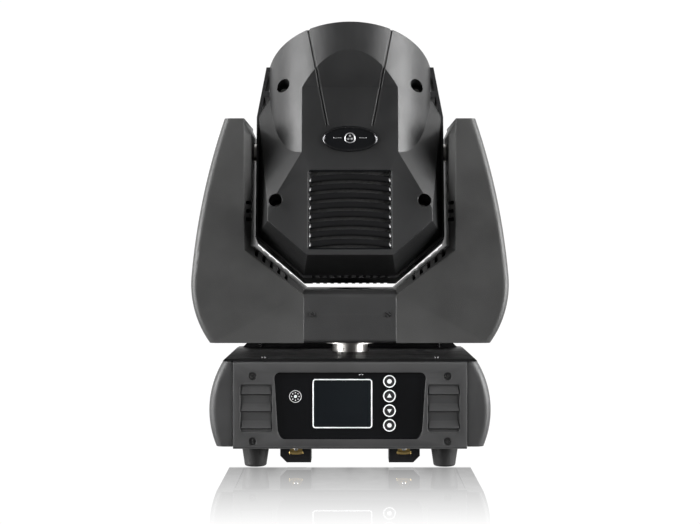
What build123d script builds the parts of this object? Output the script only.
from build123d import *
import os
from math import cos, pi, radians, sin

# Moving head stage light: a base with a menu display, a yoke that pans on it, and a head that tilts.
#
# Millimetres, +Z up. The origin is on the pan axis, at the level of the feet. The display faces -Y.
# The head is drawn upright about the tilt axis, and is then seated in the yoke with a lean.

def both_sides(points):
    """A left-right symmetric outline from its right half, listed bottom to top."""
    return points + [(-x, z) for x, z in reversed(points)]


# ---------------------------------------------------------------- driving dimensions
TILT_Z = 340.0  # height of the tilt axis
REST_LEAN = 10.0  # degrees that the head leans back, away from the display, at rest
WALL = 2.5  # moulded plastic covers
SHEET = 2.0  # sheet metal
FIT = 0.1  # radial clearance of a turning or sliding fit
GAP = 0.4  # clearance between neighbours that pass each other

# base
BASE_HALF_DEPTH = 120.0
FLOOR_Z = 24.0  # underside of the tray
TOP_Z = 114.0  # top of the black top cover
BEZEL_HALF = 123.0
BEZEL_DEPTH = 10.0
TRAY_HALF = 122.6
INNER_Y = 110.0  # the tray reaches from the bezel to the rear housing
REAR_Y = 118.0  # outside of the rear panel
FOOT_X, FOOT_Y = 101.0, 90.0
CAM_X, CAM_Y = 57.5, 78.0  # quarter-turn sockets for the rigging clamps

# control panel, on the front of the base
PANEL_Z = 67.0  # centre height
SCREEN_X, SCREEN_Z, SCREEN_W, SCREEN_H = -8.0, 69.0, 63.0, 52.0
BUTTON_X, BUTTON_TOP_Z, BUTTON_PITCH, BUTTON_R = 41.5, 92.5, 15.4, 5.6

BUTTON_ZS = [BUTTON_TOP_Z - row * BUTTON_PITCH for row in range(4)]
PANEL_OUTLINE = both_sides([(72.0, 32.0), (76.0, 40.0), (80.0, 102.0)])
BOARD_Y = -98.0
RIB_X, RIB_Z, RIB_PITCH = 98.5, 64.4, 18.0
BEZEL_SCREWS = [(x, z) for x in (-102.5, 102.5) for z in (29.5, 98.0)]

# side covers
SIDE_FOOT_X, SIDE_X, SIDE_Z, SIDE_TOP_X = 141.0, 148.3, 70.0, 134.0
GRIP_X, GRIP_Z, GRIP_H, GRIP_HALF = 127.0, 78.0, 30.0, 55.0

# lid
HOOD_Y = 55.0  # front of the raised rear hood, where the lid ends
LID_HALF, LID_Z = 134.0, 116.5
LID_SCREWS = [(-91.5, -107.0), (91.5, -107.0)]

# rear panel, places as x and z
HOOD_SCREW_Z = 119.0
POWER_PLACES = [(-85.0, 48.0), (-85.0, 84.0)]
POWER_SIZE = (27.0, 20.0)
DATA_PLACES = [(10.0, 48.0), (50.0, 48.0), (10.0, 88.0), (50.0, 88.0)]
DATA_R = 12.0
SWITCH_PLACE, SWITCH_SIZE = (-46.0, 84.0), (12.0, 19.0)
FUSE_PLACE, FUSE_R = (-46.0, 48.0), 6.0

# pan drive
PAN_SHAFT_R = 19.8
PULLEY_Z = 74.0
BELT_W, BELT_T = 9.0, 1.4
PULLEY_W = BELT_W + 2.8
TOOTH_PITCH = 2.032
BIG_R = 120 * TOOTH_PITCH / (2 * pi)
SMALL_R = 20 * TOOTH_PITCH / (2 * pi)
PAN_MOTOR_X = 76.0

# yoke
YOKE_HALF = 75.0  # half of its depth, front to back
YOKE_Z = 130.0
SADDLE_Z, SADDLE_HALF, SADDLE_RISE = 182.5, 50.7, 4.3
SWELL_Y = 63.0  # the covers of the U swell towards the head up to here, front and back
ARM_IN_X, ARM_CORNER_Z, ARM_TOP_Z = 114.5, 230.5, 373.0
CENTRE_HALF = 50.0
FRAME_X, FRAME_T, FRAME_Z = 125.0, 3.0, 134.0
BULGE_X = 108.0  # where the arms' inner covers come closest to the head

YOKE_SCREW_X, YOKE_SCREW_Z = 41.0, 161.0
VENT_YS = (-70.0, 44.0)  # where the cooling slots of the inner covers start
LOCK_SLOT_X, LOCK_HALF_Y = (72.0, 86.0), 7.0

# tilt drive
SHAFT_R = 10.0
TILT_R = 60 * TOOTH_PITCH / (2 * pi)
TILT_BELT_W = 5.0
TILT_MOTOR_Z = 222.0

# head, about its own origin on the tilt axis
SEAM_Y = 22.0  # the covers meet the frame band at this distance front and back
FACE_Y = 77.0  # flat front of a cover
HOOD_R = 93.0  # round hood about the lens
RIM_FRONT_Z, RIM_SEAM_Z = 124.0, 94.0
DRAFT = 14.0  # degrees, from seam to face
GRILLE_Z, GRILLE_W, GRILLE_H = -80.5, 90.0, 87.0
LENS_Z, LENS_R = 90.0, 64.0
WHEEL_X, WHEEL_R = 40.0, 50.0
COVER_OUTLINE = both_sides([(50.7, -143.5), (102.0, -99.0), (102.0, 36.0), (91.5, 95.0)])
COVER_SCREWS = [(-73.5, 62.5), (73.5, 62.5), (-80.0, -70.0), (80.0, -70.0)]
BOSS_R, BOSS_Y = 7.2, 28.0
FACET_Z, FACET_TILT = -17.0, 18.0  # where the slanted facets leave the flat face, and how far they lean
SLAT_PITCH, SLAT_BOW = 10.1, 3.3
BADGE_Z = -3.0
FAN_Y, ROD_Y = 51.0, 60.0

HEAD_SEAT = Location((0, 0, TILT_Z), (-REST_LEAN, 0, 0))
FRONT = Plane.XZ  # its normal is -Y
SIDE = Plane.YZ  # its normal is +X

os.makedirs("parts", exist_ok=True)


def save(shape, name):
    """Writes one finished piece to its own STEP file."""
    shape.label = name
    export_step(shape, f"parts/{name}.step")


def save_head(shape, name):
    """Writes a piece of the head, seated in the yoke at the rest lean."""
    save(shape.moved(HEAD_SEAT), name)


def polygon(points, mode=Mode.ADD):
    """A closed polygon in the current sketch, from points listed in order."""
    Polygon(*points, align=None, mode=mode)


def block(x0, x1, y0, y1, z0, z1, mode=Mode.ADD):
    """A box in the current part, between two corners."""
    with Locations(((x0 + x1) / 2, (y0 + y1) / 2, (z0 + z1) / 2)):
        Box(abs(x1 - x0), abs(y1 - y0), abs(z1 - z0), mode=mode)


def screws(places, plane, head_r=3.5, head_h=1.6, shank_r=2.0, length=8.0):
    """Identical pan-head screws on a plane, heads standing out along its normal."""
    with BuildPart() as group:
        with Locations(*[plane * Location((x, y, 0)) for x, y in places]):
            Cylinder(head_r, head_h, align=(Align.CENTER, Align.CENTER, Align.MIN))
            Cylinder(shank_r, length, align=(Align.CENTER, Align.CENTER, Align.MAX))
            Box(4.4, 0.9, 1.6, align=(Align.CENTER, Align.CENTER, Align.MIN), mode=Mode.SUBTRACT)
            Box(0.9, 4.4, 1.6, align=(Align.CENTER, Align.CENTER, Align.MIN), mode=Mode.SUBTRACT)
    return group.part


def belt(plane, far, big_r, small_r, width):
    """A closed belt round two pulleys, the small one at far in the plane's own axes."""
    with BuildPart() as loop:
        with BuildSketch(plane):
            Circle(big_r + GAP + BELT_T)
            with Locations(far):
                Circle(small_r + GAP + BELT_T)
            make_hull()
            with BuildSketch(plane, mode=Mode.SUBTRACT):
                Circle(big_r + GAP)
                with Locations(far):
                    Circle(small_r + GAP)
                make_hull()
        extrude(amount=width)
    return loop.part


def flanged_pulley(plane, radius, bore, width, flange=1.0):
    """A toothed-belt pulley with a flange on each side; the plane is its lower face."""
    with BuildPart(plane) as pulley:
        Cylinder(radius, width, align=(Align.CENTER, Align.CENTER, Align.MIN))
        with Locations((0, 0, 0), (0, 0, width - flange)):
            Cylinder(radius + BELT_T, flange, align=(Align.CENTER, Align.CENTER, Align.MIN))
        Cylinder(bore, width, align=(Align.CENTER, Align.CENTER, Align.MIN), mode=Mode.SUBTRACT)
    return pulley.part


# ---------------------------------------------------------------- base: chassis and covers
def base_tray():
    """Sheet-metal channel: the floor and two side walls, with holes for the feet and the clamp sockets."""
    with BuildPart() as tray:
        block(-TRAY_HALF, TRAY_HALF, -INNER_Y, INNER_Y, FLOOR_Z, FLOOR_Z + SHEET)
        for side in (-1, 1):
            block(side * TRAY_HALF, side * (TRAY_HALF - SHEET), -INNER_Y, INNER_Y, FLOOR_Z, TOP_Z)
        with BuildSketch(Plane.XY.offset(FLOOR_Z)):
            with GridLocations(2 * FOOT_X, 2 * FOOT_Y, 2, 2):
                Circle(3.5)
            with GridLocations(2 * CAM_X, 2 * CAM_Y, 2, 2):
                SlotCenterToCenter(12, 10)
        extrude(amount=SHEET, mode=Mode.SUBTRACT)
    save(tray.part, "base_tray")


def top_cover():
    """Black sheet-metal lid: reaches over the side covers, and ends at the raised rear hood."""
    front, back = -BASE_HALF_DEPTH, HOOD_Y - 0.2
    with BuildPart() as cover:
        with BuildSketch(SIDE):
            polygon([(front, TOP_Z), (front + 2, LID_Z), (back, LID_Z), (back, TOP_Z)])
        extrude(amount=LID_HALF, both=True)
        for side in (-1, 1):
            split(bisect_by=Plane((side * LID_HALF, 0, TOP_Z), z_dir=(side, 0, 1)), keep=Keep.BOTTOM)
        with Locations((0, 0, TOP_Z)):
            Cylinder(PAN_SHAFT_R + 1.7, 30, mode=Mode.SUBTRACT)
        with Locations(*LID_SCREWS):
            Cylinder(1.8, 4 * TOP_Z, mode=Mode.SUBTRACT)
    save(cover.part, "top_cover")


def rear_housing():
    """Rear panel with its connector openings, and the raised hood behind the pan shaft."""
    hood_y, hood_z, hood_half = HOOD_Y, 124.0, 125.0
    with BuildPart() as housing:
        with BuildSketch(FRONT.offset(-REAR_Y)):
            polygon(both_sides([(hood_half + 1.5, TOP_Z), (hood_half, TOP_Z + 3), (hood_half - 7, hood_z)]))
        extrude(amount=REAR_Y - hood_y)
        with BuildSketch(FRONT.offset(-REAR_Y + SHEET)):
            polygon(both_sides([(hood_half - 3, TOP_Z), (hood_half - 9, hood_z - SHEET)]))
        extrude(amount=REAR_Y - hood_y - 2 * SHEET, mode=Mode.SUBTRACT)
        block(-BEZEL_HALF, BEZEL_HALF, REAR_Y - SHEET, REAR_Y, FLOOR_Z, TOP_Z)
        block(-BEZEL_HALF, BEZEL_HALF, INNER_Y, REAR_Y, FLOOR_Z, FLOOR_Z + SHEET)
        for side in (-1, 1):
            block(side * BEZEL_HALF, side * (BEZEL_HALF - SHEET), INNER_Y, REAR_Y, FLOOR_Z, TOP_Z)
        with Locations(*[FRONT.offset(-hood_y) * Location((x, HOOD_SCREW_Z, 0)) for x in (-105, 105)]):
            Cylinder(1.3, 3 * SHEET, mode=Mode.SUBTRACT)
        with BuildSketch(FRONT.offset(-REAR_Y)):
            with Locations(*POWER_PLACES):
                Rectangle(*POWER_SIZE)
            with Locations(*DATA_PLACES):
                Circle(DATA_R)
            with Locations(SWITCH_PLACE):
                Rectangle(*SWITCH_SIZE)
            with Locations(FUSE_PLACE):
                Circle(FUSE_R)
        extrude(amount=SHEET, mode=Mode.SUBTRACT)
    save(housing.part, "rear_housing")


def front_bezel():
    """Moulded front frame about the control panel, with three rib steps on each side of it."""
    front = -BASE_HALF_DEPTH
    with BuildPart() as bezel:
        block(-BEZEL_HALF, BEZEL_HALF, front, front + BEZEL_DEPTH, FLOOR_Z - 2.5, TOP_Z)
        fillet(bezel.faces().sort_by(Axis.Y)[0].edges().filter_by(Axis.X), 3)
        block(-BEZEL_HALF + 3, BEZEL_HALF - 3, front + 4, front + 10, FLOOR_Z + SHEET, TOP_Z - 4,
              Mode.SUBTRACT)
        with BuildSketch(FRONT.offset(-front)) as opening:
            polygon(PANEL_OUTLINE)
            fillet(opening.vertices(), 6)
        extrude(amount=-4, mode=Mode.SUBTRACT, taper=-20)
        with BuildSketch(FRONT.offset(-front)):
            with GridLocations(2 * RIB_X, 0, 2, 1):
                with Locations((0, RIB_Z)):
                    RectangleRounded(34, 50, 3)
        extrude(amount=-2, mode=Mode.SUBTRACT)
        for side in (-1, 1):
            for row in (-1, 0, 1):
                low = RIB_Z + row * RIB_PITCH - 4
                with BuildSketch(SIDE.offset(side * RIB_X - 15.5)):
                    polygon([(front + 2, low), (front + 0.2, low + 1), (front + 2, low + 9)])
                extrude(amount=31)
        with Locations(*[FRONT.offset(-front) * Location((x, z, 0)) for x, z in BEZEL_SCREWS]):
            CounterBoreHole(1.8, 4.2, 2.2)
    save(bezel.part, "front_bezel")


def side_section(inset=0.0):
    """Bulging cross-section of the right-hand side cover; inset moves its walls inwards."""
    with BuildLine() as section:
        base = Polyline((BEZEL_HALF + 0.5, TOP_Z - 0.3), (BEZEL_HALF + 0.5, FLOOR_Z), (SIDE_FOOT_X, FLOOR_Z))
        belly = ThreePointArc(base @ 1, (SIDE_X, SIDE_Z), (SIDE_TOP_X, TOP_Z - 0.3))
        Line(belly @ 1, base @ 0)
    make_face(section.edges())
    if inset:
        offset(amount=-inset, kind=Kind.INTERSECTION)


def side_cover():
    """Hollow moulded cover of the right-hand side, with a grip pocket for lifting the fixture."""
    half = BASE_HALF_DEPTH - 1.5
    with BuildPart() as cover:
        with BuildSketch(FRONT):
            side_section()
        extrude(amount=half, both=True)
        fillet(cover.edges().filter_by(GeomType.CIRCLE), 8)
        for y0, y1, pocket in ((-half + WALL, -GRIP_HALF - WALL, False),
                               (-GRIP_HALF - WALL, GRIP_HALF + WALL, True),
                               (GRIP_HALF + WALL, half - WALL, False)):
            with BuildSketch(FRONT.offset(-y1)):
                side_section(WALL)
                polygon([(BEZEL_HALF, FLOOR_Z + WALL), (BEZEL_HALF + 5, FLOOR_Z + WALL),
                         (BEZEL_HALF + 5, TOP_Z - 0.3 - WALL), (BEZEL_HALF, TOP_Z - 0.3 - WALL)])
                if pocket:
                    with Locations((SIDE_X, GRIP_Z)):
                        Rectangle(2 * (SIDE_X - GRIP_X), GRIP_H + 2 * WALL, mode=Mode.SUBTRACT)
            extrude(amount=y1 - y0, mode=Mode.SUBTRACT)
        with BuildSketch(SIDE.offset(GRIP_X + WALL)):
            with Locations((0, GRIP_Z)):
                RectangleRounded(2 * GRIP_HALF, GRIP_H, 8)
        extrude(amount=40, mode=Mode.SUBTRACT)
    return cover.part


def base_covers():
    """The covers of the base, the two side covers as mirror images."""
    base_tray()
    top_cover()
    rear_housing()
    front_bezel()
    right = side_cover()
    save(right.mirror(SIDE), "side_cover_left")
    save(right, "side_cover_right")


# ---------------------------------------------------------------- base: control panel
def control_panel():
    """Gloss panel behind the bezel's opening, with a window for the display and holes for four buttons."""
    back = -BASE_HALF_DEPTH + 4
    with BuildPart() as panel:
        with BuildSketch(FRONT.offset(-back)):
            with Locations((0, PANEL_Z)):
                RectangleRounded(172, 80, 3)
            with Locations((SCREEN_X, SCREEN_Z)):
                RectangleRounded(SCREEN_W, SCREEN_H, 3, mode=Mode.SUBTRACT)
            with Locations(*[(BUTTON_X, z) for z in BUTTON_ZS]):
                Circle(BUTTON_R + 2 * FIT, mode=Mode.SUBTRACT)
        extrude(amount=-3)
    save(panel.part, "control_panel")
    with BuildPart() as screen:
        with BuildSketch(FRONT.offset(-back + 0.4)):
            with Locations((SCREEN_X, SCREEN_Z)):
                RectangleRounded(SCREEN_W, SCREEN_H, 3)
        extrude(amount=-3.4)
    save(screen.part, "display_screen")


def buttons():
    """Four round menu buttons, each with a retaining flange and a stem that reaches the board's switch."""
    front = -BASE_HALF_DEPTH + 2.6
    for index, height in enumerate(BUTTON_ZS):
        with BuildPart(FRONT.offset(-front) * Location((BUTTON_X, height, 0))) as button:
            Cylinder(BUTTON_R, 4.6, align=(Align.CENTER, Align.CENTER, Align.MAX))
            fillet(button.edges().sort_by(Axis.Y)[0], 0.6)
            with Locations((0, 0, -4.6)):
                Cylinder(BUTTON_R + 1, 1.2, align=(Align.CENTER, Align.CENTER, Align.MAX))
                Cylinder(2.5, BOARD_Y - front - 4.6 - 3.2, align=(Align.CENTER, Align.CENTER, Align.MAX))
        save(button.part, f"menu_button_{index + 1}")


def circuit_boards():
    """Display board with its four switches behind the panel, and the driver board on pillars at the back."""
    with BuildPart() as boards:
        block(-66, 66, BOARD_Y, BOARD_Y + 1.6, 36, 100)
        for height in BUTTON_ZS:
            block(BUTTON_X - 3, BUTTON_X + 3, BOARD_Y - 2, BOARD_Y, height - 3, height + 3)
        block(-30, 20, BOARD_Y + 1.6, BOARD_Y + 6, 50, 90)
        block(28, 104, 50, 106, 34, 35.6)
        for x in (33, 99):
            for y in (55, 101):
                block(x - 3, x + 3, y - 3, y + 3, FLOOR_Z + SHEET, 34)
        block(40, 62, 60, 76, 35.6, 42)
        block(70, 82, 84, 98, 35.6, 52)
        with Locations((52, 90, 35.6), (92, 66, 35.6)):
            Cylinder(6, 14, align=(Align.CENTER, Align.CENTER, Align.MIN))
    save(boards.part, "circuit_boards")


def power_supply():
    """Vented switching supply on the tray's left."""
    with BuildPart() as supply:
        block(-108, -46, -60, 84, FLOOR_Z + SHEET, 62)
        with GridLocations(0, 12, 1, 10):
            with Locations((-77, 12, 62)):
                Box(44, 4, 4, mode=Mode.SUBTRACT)
    save(supply.part, "power_supply")


# ---------------------------------------------------------------- base: rear sockets
def power_sockets():
    """Power inlet and linked power outlet with their contact blades, and the fuse holder beside them."""
    rear = REAR_Y
    outward = Plane.XZ.offset(-rear)
    with BuildPart() as sockets:
        for x, z in POWER_PLACES:
            with BuildSketch(outward):
                with Locations((x, z)):
                    RectangleRounded(POWER_SIZE[0] + 6, POWER_SIZE[1] + 6, 2)
            extrude(amount=-1.5)
            block(x - POWER_SIZE[0] / 2, x + POWER_SIZE[0] / 2, rear - 26, rear, z - POWER_SIZE[1] / 2,
                  z + POWER_SIZE[1] / 2)
            block(x - 11, x + 11, rear - 20, rear + 2, z - 7, z + 7, Mode.SUBTRACT)
            for blade_x, blade_z in ((-6, -2), (0, 2.5), (6, -2)):
                block(x + blade_x - 1, x + blade_x + 1, rear - 20, rear - 3,
                      z + blade_z - 2, z + blade_z + 2)
        with Locations(Plane.XZ.offset(-rear) * Location((FUSE_PLACE[0], FUSE_PLACE[1], 0))):
            Cylinder(FUSE_R, 24, align=(Align.CENTER, Align.CENTER, Align.MIN))
            Cylinder(FUSE_R + 1.5, 2, align=(Align.CENTER, Align.CENTER, Align.MAX))
            with Locations((0, 0, -2)):
                Box(9, 1.4, 3, mode=Mode.SUBTRACT)
    save(sockets.part, "power_sockets")


def data_sockets():
    """Four round data sockets, two in and two out, each with its pins or holes in a recess."""
    rear = REAR_Y
    with BuildPart() as sockets:
        for x, z in DATA_PLACES:
            with Locations(Plane.XZ.offset(-rear) * Location((x, z, 0))):
                Cylinder(DATA_R, 22, align=(Align.CENTER, Align.CENTER, Align.MIN))
                Cylinder(DATA_R + 1.5, 1.6, align=(Align.CENTER, Align.CENTER, Align.MAX))
                with Locations((0, 0, -1.6)):
                    Cylinder(DATA_R - 2.5, 16, align=(Align.CENTER, Align.CENTER, Align.MIN),
                             mode=Mode.SUBTRACT)
                with Locations((0, 0, 4)):
                    with PolarLocations(4, 3):
                        Cylinder(1.2, 11, align=(Align.CENTER, Align.CENTER, Align.MIN))
    save(sockets.part, "data_sockets")


def power_switch():
    """Rocker of the mains switch, which tips about its middle."""
    rear = REAR_Y
    x, z = SWITCH_PLACE
    with BuildPart() as rocker:
        with BuildSketch(SIDE.offset(x - 5)) as side:
            polygon([(rear - 5, z - 8), (rear + 0.5, z - 8.5), (rear + 2, z), (rear + 0.5, z + 8.5),
                     (rear - 5, z + 8)])
        extrude(amount=10)
    save(rocker.part, "power_switch")


# ---------------------------------------------------------------- base: underside and fixings
def rubber_feet():
    """Four tapered rubber feet with rounded soles, each plugged into the tray."""
    with BuildPart() as foot:
        with BuildSketch(FRONT):
            polygon([(0, 0), (11.5, 0), (14.5, FLOOR_Z - 4), (14.5, FLOOR_Z), (3.4, FLOOR_Z),
                     (3.4, FLOOR_Z + 5), (0, FLOOR_Z + 5)])
        revolve(axis=Axis.Z)
        fillet(foot.edges().group_by(Axis.Z)[0], 2.5)
    with BuildPart() as feet:
        with GridLocations(2 * FOOT_X, 2 * FOOT_Y, 2, 2):
            add(foot.part)
    save(feet.part, "rubber_feet")


def camlock_sockets():
    """Four quarter-turn sockets under the base for the rigging clamps, and the sprung detent of each."""
    with BuildPart() as sockets:
        for x in (-CAM_X, CAM_X):
            for y in (-CAM_Y, CAM_Y):
                out = 1 if x > 0 else -1
                with BuildSketch(FRONT.offset(-y - 17)):
                    polygon([(x - out * 16, 4), (x + out * 10, 4), (x + out * 17, 11),
                             (x + out * 17, FLOOR_Z), (x - out * 16, FLOOR_Z)])
                extrude(amount=34)
                with BuildSketch(Plane.XY.offset(4)):
                    with Locations((x, y)):
                        SlotCenterToCenter(12, 10)
                extrude(amount=9, mode=Mode.SUBTRACT)
                with BuildSketch(Plane.XY.offset(13)):
                    with Locations((x, y)):
                        Circle(12)
                extrude(amount=FLOOR_Z - 13, mode=Mode.SUBTRACT)
                block(x - 7, x + 7, y - 20, y - 12, 14, 23, Mode.SUBTRACT)
                block(x - 7, x + 7, y + 12, y + 20, 14, 23, Mode.SUBTRACT)
    save(sockets.part, "camlock_sockets")
    with BuildPart() as springs:
        for x in (-CAM_X, CAM_X):
            for y in (-CAM_Y, CAM_Y):
                for side in (-1, 1):
                    with BuildSketch(FRONT.offset(-y - side * 14.6 - 0.4)):
                        polygon([(x - 6.5, 15), (x + 6.5, 15), (x + 6.5, 18), (x + 4, 22.5),
                                 (x - 4, 22.5), (x - 6.5, 18)])
                    extrude(amount=0.8)
                    with Locations(Plane.XZ.offset(-y - side * 15.4 - 1.2) * Location((x, 18.6, 0))):
                        Cylinder(3, 2.4, align=(Align.CENTER, Align.CENTER, Align.MIN))
    save(springs.part, "camlock_springs")


def safety_eye():
    """Eye bolt under the middle of the base for the safety cable."""
    with BuildPart() as eye:
        block(-3, 3, 78, 98, 4, FLOOR_Z)
        fillet(eye.edges().filter_by(Axis.X).group_by(Axis.Z)[0], 6)
        with Locations(Plane.YZ.offset(-3) * Location((88, 13, 0))):
            Cylinder(6, 6, align=(Align.CENTER, Align.CENTER, Align.MIN), mode=Mode.SUBTRACT)
        block(-14, 14, 76, 100, FLOOR_Z - 3, FLOOR_Z)
    save(eye.part, "safety_eye")


def case_screws():
    """Recessed screws of the bezel, and the pan-head screws of the lid and the hood."""
    recessed = screws(BEZEL_SCREWS, FRONT.offset(BASE_HALF_DEPTH - 2.2), 3.8, 1.6, 1.7, 6)
    lid = screws(LID_SCREWS, Plane.XY.offset(LID_Z), 2.6, 1.2, 1.6, 6)
    hood = screws([(-105, HOOD_SCREW_Z), (105, HOOD_SCREW_Z)], FRONT.offset(-55), 2.4, 1.2, 1.2, 4)
    with BuildPart() as group:
        add(recessed)
        add(lid)
        add(hood)
    save(group.part, "case_screws")


# ---------------------------------------------------------------- pan drive
def pan_shaft():
    """Hollow steel column of the yoke: a long journal, a bright flange and a neck for the yoke frame."""
    with BuildPart() as shaft:
        with BuildSketch(FRONT):
            polygon([(14, 68), (PAN_SHAFT_R, 68), (PAN_SHAFT_R, 125.4), (27, 125.4), (27, 129.6),
                     (24, 129.6),
                     (24, FRAME_Z), (14, FRAME_Z)])
        revolve(axis=Axis.Z)
        chamfer(shaft.edges().group_by(Axis.Z)[0], 0.5)
    save(shaft.part, "pan_shaft")


def pan_bearing():
    """Deep bearing of the pan shaft, in a housing that hangs from the lid."""
    with BuildPart() as bearing:
        with BuildSketch(FRONT):
            polygon([(PAN_SHAFT_R + FIT, 92), (34, 92), (34, 110), (44, 110), (44, TOP_Z),
                     (PAN_SHAFT_R + FIT, TOP_Z)])
        revolve(axis=Axis.Z)
        with BuildSketch(Plane.XY.offset(92)):
            Circle(29)
            Circle(25, mode=Mode.SUBTRACT)
        extrude(amount=1, mode=Mode.SUBTRACT)
    save(bearing.part, "pan_bearing")


def stepper(plane, width, length, shaft_r, shaft_length, boss_r=11.0):
    """A square stepper motor; the plane is its mounting face, with the shaft along the normal."""
    with BuildPart(plane) as motor:
        with Locations((0, 0, -length / 2)):
            Box(width, width, length)
        fillet(motor.edges().filter_by(Axis((0, 0, 0), plane.z_dir)), 3)
        Cylinder(boss_r, 1.6, align=(Align.CENTER, Align.CENTER, Align.MIN))
        Cylinder(shaft_r, shaft_length, align=(Align.CENTER, Align.CENTER, Align.MIN))
    return motor.part


def pan_drive():
    """Motor and belt in the base; the big pulley turns with the yoke."""
    face_z = PULLEY_Z - 3
    with BuildPart() as motor:
        add(stepper(Plane((PAN_MOTOR_X, 0, face_z)), 42.0, 40.0, 2.4, 3 + PULLEY_W))
        block(PAN_MOTOR_X - 24, PAN_MOTOR_X + 24, -28, -21, FLOOR_Z + SHEET, face_z)
        block(PAN_MOTOR_X - 24, PAN_MOTOR_X + 24, 21, 28, FLOOR_Z + SHEET, face_z)
    save(motor.part, "pan_motor")
    plane = Plane.XY.offset(PULLEY_Z)
    save(flanged_pulley(plane, BIG_R, PAN_SHAFT_R, PULLEY_W), "pan_pulley")
    far = Plane((PAN_MOTOR_X, 0, PULLEY_Z))
    save(flanged_pulley(far, SMALL_R, 2.4 + FIT, PULLEY_W), "pan_motor_pulley")
    save(belt(Plane.XY.offset(PULLEY_Z + 1.4), (PAN_MOTOR_X, 0), BIG_R, SMALL_R, BELT_W), "pan_belt")


# ---------------------------------------------------------------- yoke
def arm_section(inset=0.0):
    """Front outline of the right-hand half of the yoke; inset moves its outer walls inwards."""
    bottom, top = YOKE_Z + inset, ARM_TOP_Z - inset
    with BuildLine() as section:
        foot = Polyline((CENTRE_HALF, SADDLE_Z), (CENTRE_HALF, bottom), (152 - 0.5 * inset, bottom))
        belly = ThreePointArc(foot @ 1, (166.5 - 0.9 * inset, 158 + 0.4 * inset), (172 - inset, 203))
        back = TangentArc(belly @ 1, (136 - inset, top), tangent=belly % 1)
        Polyline(back @ 1, (ARM_IN_X, top), (ARM_IN_X, ARM_CORNER_Z), (SADDLE_HALF, SADDLE_Z), foot @ 0)
    return section.edges()


def arm_cover():
    """Right-hand outer cover: front, back and outer walls, open towards the head for the inner cover."""
    with BuildPart() as cover:
        with BuildSketch(FRONT):
            make_face(arm_section())
        extrude(amount=YOKE_HALF, both=True)
        fillet(cover.edges().filter_by(GeomType.CIRCLE), 7)
        with BuildSketch(FRONT):
            make_face(arm_section(WALL))
            polygon([(40, YOKE_Z + WALL), (60, YOKE_Z + WALL), (60, 174), (122, 222),
                     (122, ARM_TOP_Z - WALL),
                     (100, ARM_TOP_Z - WALL), (100, 240), (40, 190)])
        extrude(amount=YOKE_HALF - WALL, both=True, mode=Mode.SUBTRACT)
    return cover.part


def skin(crown, y):
    """Cross-section of the inner cover at one depth: crown is how far it swells towards the head."""
    slope = (ARM_CORNER_Z - SADDLE_Z) / (ARM_IN_X - SADDLE_HALF)
    rise = crown / (ARM_IN_X - BULGE_X) * SADDLE_RISE
    low = (SADDLE_HALF - 0.1 * crown, SADDLE_Z + rise)
    corner = (ARM_IN_X - crown, ARM_CORNER_Z + 0.75 * crown)
    top = ARM_TOP_Z - WALL - 0.1
    back = WALL * (1 + slope * slope) ** 0.5
    with BuildSketch(FRONT.offset(-y)) as section:
        polygon([(CENTRE_HALF, SADDLE_Z + rise), low, corner, (corner[0], top - 14), (ARM_IN_X, top),
                 (ARM_IN_X + WALL, top), (corner[0] + WALL, top - 14),
                 (corner[0] + WALL, corner[1] + WALL * slope - back),
                 (low[0] + 1.3, low[1] - WALL), (CENTRE_HALF, SADDLE_Z + rise - WALL)])
    return section.sketch


def inner_cover(with_lock):
    """Right-hand inner cover: swells towards the head, and has cooling slots and a shaft opening."""
    edge = YOKE_HALF - WALL - 0.1
    crown = ARM_IN_X - BULGE_X
    with BuildPart() as cover:
        loft([skin(0.4, -edge), skin(crown, -SWELL_Y), skin(crown, SWELL_Y), skin(0.4, edge)], ruled=True)
        with Locations(SIDE.offset(ARM_IN_X) * Location((0, TILT_Z, 0))):
            Cylinder(SHAFT_R + 1.5, 60, mode=Mode.SUBTRACT)
        for y in VENT_YS:
            for row in range(3):
                block(90, 130, y, y + 22, 262 + 9 * row, 266 + 9 * row, Mode.SUBTRACT)
            for row in range(5):
                x = 68 + 8 * row
                block(x, x + 3.4, y, y + 26, 160, 260, Mode.SUBTRACT)
        if with_lock:
            block(*LOCK_SLOT_X, -LOCK_HALF_Y, LOCK_HALF_Y, 160, 260, Mode.SUBTRACT)
    return cover.part


def centre_outline(sign, inset):
    """Section of one half of the middle cover: flat front, and a saddle that swells upwards."""
    face, crest = YOKE_HALF - inset, SADDLE_Z + SADDLE_RISE - inset
    return [(0, YOKE_Z + inset), (sign * face, YOKE_Z + inset), (sign * face, SADDLE_Z - inset),
            (sign * (SWELL_Y - inset / 2), crest), (0, crest)]


def centre_cover(front):
    """One half of the cover that wraps the middle of the yoke, split on the pan axis."""
    sign = -1 if front else 1
    with BuildPart() as cover:
        with BuildSketch(SIDE):
            polygon(centre_outline(sign, 0))
        extrude(amount=CENTRE_HALF, both=True)
        edge = cover.faces().sort_by(Axis.Y)[0 if front else -1].edges().filter_by(Axis.X)
        fillet(edge, 4)
        with BuildSketch(SIDE):
            polygon(centre_outline(sign, WALL))
        extrude(amount=CENTRE_HALF, both=True, mode=Mode.SUBTRACT)
        Cylinder(24 + GAP, 4 * YOKE_Z, mode=Mode.SUBTRACT)
        with Locations(*[FRONT * Location((x, YOKE_SCREW_Z, 0)) for x in (-YOKE_SCREW_X, YOKE_SCREW_X)]):
            Cylinder(1.8, 4 * YOKE_HALF, mode=Mode.SUBTRACT)
    name = "centre_cover_front" if front else "centre_cover_rear"
    save(cover.part, name)


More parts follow.
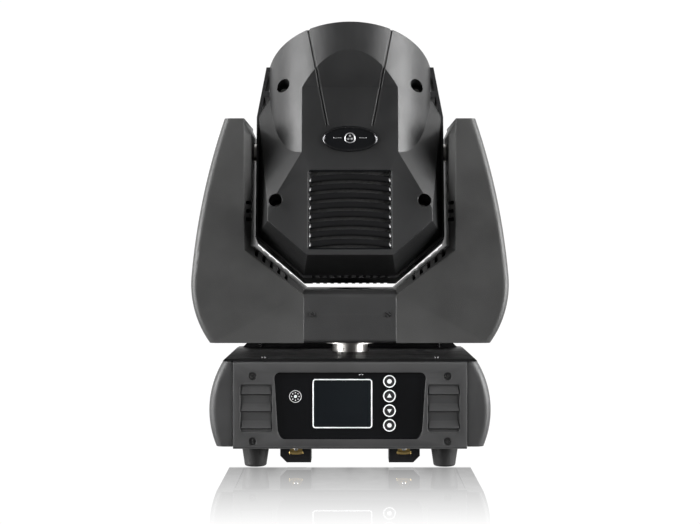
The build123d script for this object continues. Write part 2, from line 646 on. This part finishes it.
def yoke_frame():
    """Bent steel U inside the covers, with holes for the tilt bearings and the pan hub."""
    with BuildPart() as frame:
        with BuildSketch(FRONT):
            out, inside = FRAME_X + FRAME_T, FRAME_X
            polygon(both_sides([(out, FRAME_Z), (out, TILT_Z + 22), (inside, TILT_Z + 22),
                                (inside, FRAME_Z + FRAME_T)]))
        extrude(amount=42, both=True)
        Cylinder(13, 3 * YOKE_Z, mode=Mode.SUBTRACT)
        with Locations(SIDE * Location((0, TILT_Z, 0))):
            Cylinder(16, 400, mode=Mode.SUBTRACT)
        for z in (195, 290):
            with Locations(SIDE * Location((0, z, 0))):
                Cylinder(14, 400, mode=Mode.SUBTRACT)
        fillet(frame.edges().filter_by(Axis.X).group_by(Axis.Z)[-1], 12)
    save(frame.part, "yoke_frame")


def yoke_screws():
    """Screws that hold the two middle covers to the frame, front and back."""
    places = [(-YOKE_SCREW_X, YOKE_SCREW_Z), (YOKE_SCREW_X, YOKE_SCREW_Z)]
    front = screws(places, FRONT.offset(YOKE_HALF), 2.8, 1.2, 1.7, 6)
    with BuildPart() as group:
        add(front)
        add(front.mirror(Plane.XZ))
    save(group.part, "yoke_screws")


def tilt_bearings():
    """Two ball bearings pressed into the uprights of the yoke frame."""
    with BuildPart() as bearings:
        for side in (-1, 1):
            with Locations(SIDE.offset(side * (FRAME_X + FRAME_T - 4)) * Location((0, TILT_Z, 0))):
                Cylinder(15.95, 8)
                Cylinder(SHAFT_R + FIT, 8, mode=Mode.SUBTRACT)
    save(bearings.part, "tilt_bearings")


def tilt_drive():
    """Motor, small pulley and belt in the left arm; the big pulley is on the head's left shaft."""
    pulley_w = TILT_BELT_W + 2.8
    pulley_x = FRAME_X + FRAME_T + GAP
    face_x = pulley_x + pulley_w + 2
    centre = Plane((-face_x, 0, TILT_MOTOR_Z), x_dir=(0, 1, 0), z_dir=(1, 0, 0))
    with BuildPart() as motor:
        add(stepper(centre, 36.0, 24.0, 2.4, pulley_w + 1.8, 9.0))
        for side in (-1, 1):
            block(-face_x - 20, -FRAME_X - FRAME_T, side * 18, side * 23,
                  TILT_MOTOR_Z - 18, TILT_MOTOR_Z + 18)
    save(motor.part, "tilt_motor")
    small = Plane((-pulley_x, 0, TILT_MOTOR_Z), x_dir=(0, 0, -1), z_dir=(-1, 0, 0))
    save(flanged_pulley(small, SMALL_R, 2.4 + FIT, pulley_w), "tilt_motor_pulley")
    big = Plane((-pulley_x - 1.4, 0, TILT_Z), x_dir=(0, 0, -1), z_dir=(-1, 0, 0))
    save(belt(big, (TILT_Z - TILT_MOTOR_Z, 0), TILT_R, SMALL_R, TILT_BELT_W), "tilt_belt")


def tilt_lock_lever():
    """Bright lever in the slot of the right inner cover, which slides up the slope to lock the head."""
    slope = (ARM_CORNER_Z - SADDLE_Z) / (ARM_IN_X - SADDLE_HALF)
    x = LOCK_SLOT_X[0] + 5
    z = SADDLE_Z + slope * (x - SADDLE_HALF)
    with BuildPart() as lever:
        block(x - 2.5, x + 2.5, -5, 5, z - 6, z + 6.5)
        fillet(lever.edges().filter_by(Axis.Y).group_by(Axis.Z)[-1], 2.2)
        block(x - 4, x + 4, -10, 10, z - 8, z - 6)
    save(lever.part, "tilt_lock_lever")


def yoke():
    """All pieces that pan."""
    right = arm_cover()
    save(right.mirror(SIDE), "arm_cover_left")
    save(right, "arm_cover_right")
    save(inner_cover(False).mirror(SIDE), "inner_cover_left")
    save(inner_cover(True), "inner_cover_right")
    centre_cover(True)
    centre_cover(False)
    yoke_frame()
    yoke_screws()
    tilt_bearings()
    tilt_drive()
    tilt_lock_lever()


# ---------------------------------------------------------------- head: covers
def hood_form(inset):
    """Round hood of one cover, flattened to the face below and flaring to its full radius at the rim."""
    face = FACE_Y - inset
    with BuildPart() as hood:
        with Locations((0, 0, 40)):
            Cylinder(HOOD_R - inset, 200)
        with BuildSketch(SIDE):
            polygon([(-SEAM_Y, -60), (-face, -60), (-face, 55), (inset - HOOD_R - 1, 95),
                     (inset - HOOD_R - 1, 139),
                     (-SEAM_Y, 139)])
        extrude(amount=HOOD_R, both=True, mode=Mode.INTERSECT)
    return hood.part


def head_form(inset):
    """Shape of one cover in front of the seam, or with an inset the hollow inside it."""
    hood = hood_form(inset)
    crease_x = (HOOD_R ** 2 - FACE_Y ** 2) ** 0.5
    tilt = radians(FACET_TILT)
    with BuildPart() as form:
        with BuildSketch(FRONT.offset(SEAM_Y)):
            polygon(COVER_OUTLINE)
            if inset:
                offset(amount=-inset, kind=Kind.INTERSECTION)
        extrude(amount=FACE_Y - inset - SEAM_Y, taper=DRAFT)
        for side in (-1, 1):
            normal = Vector(side * crease_x / HOOD_R * cos(tilt), -FACE_Y / HOOD_R * cos(tilt), sin(tilt))
            crease = Vector(side * crease_x, -FACE_Y, FACET_Z) - normal * inset
            split(bisect_by=Plane(crease, z_dir=normal), keep=Keep.BOTTOM)
        add(hood)
    return form.part


def rim_plane(drop=0.0):
    """Slanted plane of the hood's rim, high in front and low at the seam; drop lowers it."""
    rise = (RIM_FRONT_Z - RIM_SEAM_Z) / (HOOD_R - SEAM_Y)
    return Plane((0, -SEAM_Y, RIM_SEAM_Z - drop), z_dir=(0, rise, 1))


def groove_tool():
    """Two shallow grooves of a cover, which converge down the hood towards the badge."""
    with BuildPart() as tool:
        for side in (-1, 1):
            with BuildSketch(FRONT):
                polygon([(side * 47, 122), (side * 44.4, 122), (side * 23.5, 12), (side * 26.1, 12)])
            extrude(amount=HOOD_R + 5)
        add(head_form(1.1), mode=Mode.SUBTRACT)
    return tool.part


def head_cover():
    """Front cover: a shell with a flat face, slanted facets, a round hood and deep-set screw bosses."""
    hollow = head_form(WALL)
    grooves = groove_tool()
    with BuildPart() as room:
        add(hollow)
        with Locations(*[FRONT * Location((x, z, 0)) for x, z in COVER_SCREWS]):
            Cylinder(BOSS_R + WALL, 240, mode=Mode.SUBTRACT)
    with BuildPart() as cover:
        add(head_form(0))
        add(room.part, mode=Mode.SUBTRACT)
        add(grooves, mode=Mode.SUBTRACT)
        split(bisect_by=rim_plane(), keep=Keep.BOTTOM)
        with BuildSketch(FRONT.offset(BOSS_Y)):
            with Locations(*COVER_SCREWS):
                Circle(BOSS_R)
        extrude(amount=80, mode=Mode.SUBTRACT)
        with BuildSketch(FRONT):
            with Locations(*COVER_SCREWS):
                Circle(2)
        extrude(amount=80, mode=Mode.SUBTRACT)
        with BuildSketch(FRONT.offset(FACE_Y - 10)):
            with Locations((0, GRILLE_Z)):
                RectangleRounded(GRILLE_W, GRILLE_H, 2.5)
        extrude(amount=20, mode=Mode.SUBTRACT)
    return cover.part


def fan_grille():
    """Front grille: a thin frame round eight slats that bow upwards."""
    width, height, slat = GRILLE_W - 0.6, GRILLE_H - 0.6, 6.4
    with BuildPart() as grille:
        with BuildSketch(FRONT.offset(FACE_Y - 4)):
            with Locations((0, GRILLE_Z)):
                RectangleRounded(width, height, 2.2)
                RectangleRounded(width - 3, height - 3, 1, mode=Mode.SUBTRACT)
        extrude(amount=4)
        with BuildSketch(FRONT.offset(FACE_Y - 4)):
            for row in range(8):
                low = GRILLE_Z - height / 2 + 1.8 + row * SLAT_PITCH
                half = width / 2 - 1
                with BuildLine():
                    lower = ThreePointArc((-half, low), (0, low + SLAT_BOW), (half, low))
                    high = low + slat
                    upper = ThreePointArc((-half, high), (0, high + SLAT_BOW), (half, high))
                    Line(lower @ 0, upper @ 0)
                    Line(lower @ 1, upper @ 1)
                make_face()
        extrude(amount=3.2)
    return grille.part


def badge():
    """Plain oval emblem with a raised rim."""
    with BuildPart() as plate:
        with BuildSketch(FRONT.offset(FACE_Y)):
            with Locations((0, BADGE_Z)):
                Ellipse(30, 14.2)
        extrude(amount=2)
        with BuildSketch(FRONT.offset(FACE_Y + 1.2)):
            with Locations((0, BADGE_Z)):
                Ellipse(27.5, 11.7)
        extrude(amount=2, mode=Mode.SUBTRACT)
    return plate.part


def pair(shape):
    """Two copies in one node: the shape, and the same turned half round the head's own upright axis."""
    with BuildPart() as both:
        add(shape)
        add(shape.rotate(Axis.Z, 180))
    return both.part


def head_covers():
    """Covers, grilles, badges and screws; the front and back of the head are alike."""
    cover = head_cover()
    save_head(cover.rotate(Axis.Z, 180), "head_cover_rear")
    save_head(cover, "head_cover_front")
    save_head(pair(fan_grille()), "fan_grilles")
    save_head(pair(badge()), "badges")
    fasteners = screws(COVER_SCREWS, FRONT.offset(BOSS_Y), 4.2, 2.4, 1.8, BOSS_Y - SEAM_Y + 8)
    save_head(pair(fasteners), "cover_screws")


# ---------------------------------------------------------------- head: structure and optics
def head_frame():
    """Band between the covers, open at the top for the lens, with pillars that the covers are screwed to."""
    with BuildPart() as frame:
        with BuildSketch(FRONT.offset(-SEAM_Y)):
            polygon(COVER_OUTLINE)
            offset(amount=2.5, kind=Kind.INTERSECTION)
            with BuildSketch(mode=Mode.SUBTRACT):
                polygon(COVER_OUTLINE)
                offset(amount=-1.5, kind=Kind.INTERSECTION)
            polygon([(-87, 80), (-87, 110), (87, 110), (87, 80)], mode=Mode.SUBTRACT)
        extrude(amount=2 * SEAM_Y)
        split(bisect_by=Plane((0, 0, RIM_SEAM_Z)), keep=Keep.BOTTOM)
        for x, z in COVER_SCREWS:
            reach = 96.5 if z > 0 else 101.5
            block(x, reach if x > 0 else -reach, -SEAM_Y, SEAM_Y, z - 3, z + 3)
            with Locations(FRONT * Location((x, z, 0))):
                Cylinder(8, 2 * SEAM_Y)
                Cylinder(2, 2 * SEAM_Y, mode=Mode.SUBTRACT)
        for step in range(-5, 6):
            block(8 * step - 2, 8 * step + 2, -SEAM_Y, -SEAM_Y + 5, -150, -135, Mode.SUBTRACT)
            block(8 * step - 2, 8 * step + 2, SEAM_Y - 5, SEAM_Y, -150, -135, Mode.SUBTRACT)
        with Locations(SIDE * Location()):
            Cylinder(SHAFT_R + 0.05, 300, mode=Mode.SUBTRACT)
    save_head(frame.part, "head_frame")


def tilt_shafts():
    """Hollow stub shafts flanged to the band; the left one carries the big tilt pulley."""
    pulley_x = FRAME_X + FRAME_T + GAP
    pulley_w = TILT_BELT_W + 2.8
    with BuildPart() as shafts:
        for side in (-1, 1):
            with BuildSketch(Plane.XY):
                end = pulley_x if side > 0 else pulley_x + pulley_w
                polygon([(side * 96.4, 6), (side * 96.4, 18), (side * 100.4, 18), (side * 100.4, SHAFT_R),
                         (side * end, SHAFT_R), (side * end, 6)])
            revolve(axis=Axis.X)
    plane = Plane((-pulley_x, 0, 0), x_dir=(0, 0, -1), z_dir=(-1, 0, 0))
    with BuildPart() as group:
        add(shafts.part)
        add(flanged_pulley(plane, TILT_R, SHAFT_R - 0.5, pulley_w))
    save_head(group.part, "tilt_shafts")


def lens_group():
    """Black ring plate in the hood, and the large front lens that it holds."""
    with BuildPart() as ring:
        with BuildSketch(Plane.XY.offset(LENS_Z - 8)):
            Circle(88)
            Rectangle(200, 168, mode=Mode.INTERSECT)
            Circle(LENS_R - 6, mode=Mode.SUBTRACT)
        extrude(amount=4)
        with BuildSketch(Plane.XY.offset(LENS_Z - 4)):
            Circle(LENS_R + 5)
            Circle(LENS_R, mode=Mode.SUBTRACT)
        extrude(amount=8)
        fillet(ring.edges().group_by(Axis.Z)[-1], 1)
    save_head(ring.part, "lens_ring")
    with BuildPart() as lens:
        with BuildSketch(FRONT):
            with BuildLine():
                dome = ThreePointArc((0, LENS_Z + 10), (LENS_R * 0.55, LENS_Z + 7.2), (LENS_R - 0.1, LENS_Z))
                Polyline(dome @ 1, (LENS_R - 0.1, LENS_Z - 4), (0, LENS_Z - 4), dome @ 0)
            make_face()
        revolve(axis=Axis.Z)
    save_head(lens.part, "front_lens")


def cooling():
    """Finned heat sink between two fans, one behind each grille."""
    with BuildPart() as sink:
        block(-56, 56, -44, 44, -31, -25)
        with Locations((0, 0, -68)):
            with GridLocations(7, 0, 17, 1):
                Box(1.6, 88, 74)
    save_head(sink.part, "heat_sink")
    with BuildPart() as fan:
        with BuildSketch(FRONT.offset(FAN_Y)):
            with Locations((0, GRILLE_Z)):
                RectangleRounded(80, 80, 4)
                Circle(38.5, mode=Mode.SUBTRACT)
        extrude(amount=20)
        with BuildSketch(FRONT.offset(FAN_Y)):
            with Locations((0, GRILLE_Z)):
                Circle(15)
                with PolarLocations(0, 4, 45):
                    Rectangle(40, 3, align=(Align.MIN, Align.CENTER))
        extrude(amount=2)
        with BuildSketch(FRONT.offset(FAN_Y)):
            with Locations((0, GRILLE_Z)):
                Circle(2)
        extrude(amount=16)
    save_head(pair(fan.part), "fan_frames")
    with BuildPart() as impeller:
        with BuildSketch(FRONT.offset(FAN_Y + 2.6)):
            with Locations((0, GRILLE_Z)):
                Circle(15)
                Circle(2 + FIT, mode=Mode.SUBTRACT)
        extrude(amount=15)
        with Locations(FRONT.offset(FAN_Y + 10) * Location((0, GRILLE_Z, 0))):
            with PolarLocations(25, 7):
                with Locations(Location((0, 0, 0), (35, 0, 0))):
                    Box(23, 1.4, 15)
    save_head(impeller.part, "fan_impeller_front")
    save_head(impeller.part.rotate(Axis.Z, 180), "fan_impeller_rear")


def light_engine():
    """Lamp housing on the heat sink, with its collecting reflector."""
    with BuildPart() as engine:
        with BuildSketch(FRONT):
            polygon([(0, -25), (22, -25), (22, -4), (18, -4), (8, -20), (0, -20)])
        revolve(axis=Axis.Z)
    save_head(engine.part, "light_engine")


def optics_deck():
    """Plate across the head above the lamp, with the two rods that the focus carriage slides on."""
    with BuildPart() as deck:
        with BuildSketch(Plane.XY):
            Circle(88)
            Rectangle(200, 138, mode=Mode.INTERSECT)
            Circle(18, mode=Mode.SUBTRACT)
            with GridLocations(2 * WHEEL_X, 0, 2, 1):
                Circle(2.6, mode=Mode.SUBTRACT)
        extrude(amount=3)
        with BuildSketch(Plane.XY.offset(3)):
            with GridLocations(0, 2 * ROD_Y, 1, 2):
                Circle(3)
        extrude(amount=LENS_Z - 8 - 3)
    save_head(deck.part, "optics_deck")


def wheel_motors():
    """Two small motors under the deck, one for each wheel, with their shafts."""
    with BuildPart() as motors:
        for side, top in ((-1, 11), (1, 17)):
            with Locations((side * WHEEL_X, 0, 0)):
                Cylinder(11, 20, align=(Align.CENTER, Align.CENTER, Align.MAX))
                Cylinder(2.4, top, align=(Align.CENTER, Align.CENTER, Align.MIN))
    save_head(motors.part, "wheel_motors")


def filter_wheel(side, height, hole_r, name):
    """Wheel with eight round stations, turning about its own motor shaft and crossing the light beam."""
    with BuildPart() as wheel:
        with BuildSketch(Plane.XY.offset(height)):
            with Locations((side * WHEEL_X, 0)):
                Circle(WHEEL_R)
                Circle(2.4 + FIT, mode=Mode.SUBTRACT)
                with PolarLocations(WHEEL_X, 8):
                    Circle(hole_r, mode=Mode.SUBTRACT)
        extrude(amount=2)
    save_head(wheel.part, name)


def focus_carriage():
    """Lens carrier that slides up and down the two guide rods."""
    with BuildPart() as carriage:
        with BuildSketch(Plane.XY.offset(34)):
            Circle(38)
            SlotOverall(2 * ROD_Y + 14, 14, rotation=90)
            Circle(30, mode=Mode.SUBTRACT)
            with GridLocations(0, 2 * ROD_Y, 1, 2):
                Circle(3 + FIT, mode=Mode.SUBTRACT)
        extrude(amount=10)
        with BuildSketch(Plane.XY.offset(37)):
            Circle(30)
        extrude(amount=4)
    save_head(carriage.part, "focus_carriage")


def head():
    """All pieces that tilt."""
    head_covers()
    head_frame()
    tilt_shafts()
    lens_group()
    cooling()
    light_engine()
    optics_deck()
    wheel_motors()
    filter_wheel(-1, 8, 9.0, "colour_wheel")
    filter_wheel(1, 14, 8.0, "gobo_wheel")
    focus_carriage()


def base():
    """All pieces that stand still, with the buttons and the switch."""
    base_covers()
    control_panel()
    buttons()
    circuit_boards()
    power_supply()
    power_sockets()
    data_sockets()
    power_switch()
    rubber_feet()
    camlock_sockets()
    safety_eye()
    case_screws()
    pan_shaft()
    pan_bearing()
    pan_drive()


base()
yoke()
head()
